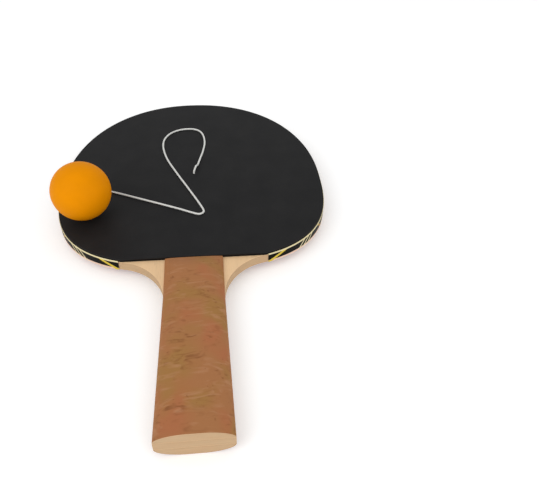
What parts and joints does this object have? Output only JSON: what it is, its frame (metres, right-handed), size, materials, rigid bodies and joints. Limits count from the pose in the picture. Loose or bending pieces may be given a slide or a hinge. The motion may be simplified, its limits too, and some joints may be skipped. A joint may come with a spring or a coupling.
{
  "type": "table tennis paddle with tethered ball",
  "caption": "Flat oval racket with a black and a red rubber face, a laminated wooden blade and handle, and a hollow ball on a thin elastic cord from the middle of the black face.",
  "frame": {"origin": "under the middle of the paddle's length and width, level with the underside of the handle", "axes": "+X across the head, +Y from the handle to the head's tip, +Z out of the black face"},
  "size_m": [0.1508, 0.2574, 0.0428],
  "materials": {
    "limba_ply": "fine sanded",
    "basswood": "sanded, unfinished",
    "cream_foam": "open-cell foam",
    "black_foam": "closed-cell foam",
    "black_rubber": "matte",
    "red_rubber": "matte",
    "burr_veneer": "mottled brown veneer, satin",
    "edge_tape": "printed tape, black with cream and yellow lines",
    "ball_plastic": "matte orange",
    "elastic": "braided white elastic"
  },
  "bodies": {
    "paddle": {"core_ply": "basswood", "black_side_inner_ply": "basswood", "red_side_inner_ply": "basswood", "black_side_outer_ply": "limba_ply", "red_side_outer_ply": "limba_ply", "black_sponge": "black_foam", "red_sponge": "cream_foam", "black_topsheet": "black_rubber", "red_topsheet": "red_rubber", "edge_tape": "edge_tape", "upper_handle_scale": "basswood", "lower_handle_scale": "basswood", "upper_scale_veneer": "burr_veneer", "lower_scale_veneer": "burr_veneer"},
    "tether": {"elastic_cord": "elastic", "anchor_knot": "elastic"},
    "ball": {"ball_plain_half": "ball_plastic", "ball_holed_half": "ball_plastic", "ball_knot": "elastic"}
  },
  "joints": [
    {"name": "tether_swing", "type": "hinge", "parent": "paddle", "child": "tether", "pos_m": [0, 0.0443, 0], "axis": [0, 0, 1], "continuous": true},
    {"name": "ball_lift", "type": "slide", "parent": "tether", "child": "ball", "axis": [0, 0, 1], "range_m": [0, 0.1], "deforming": ["elastic_cord"]}
  ]
}
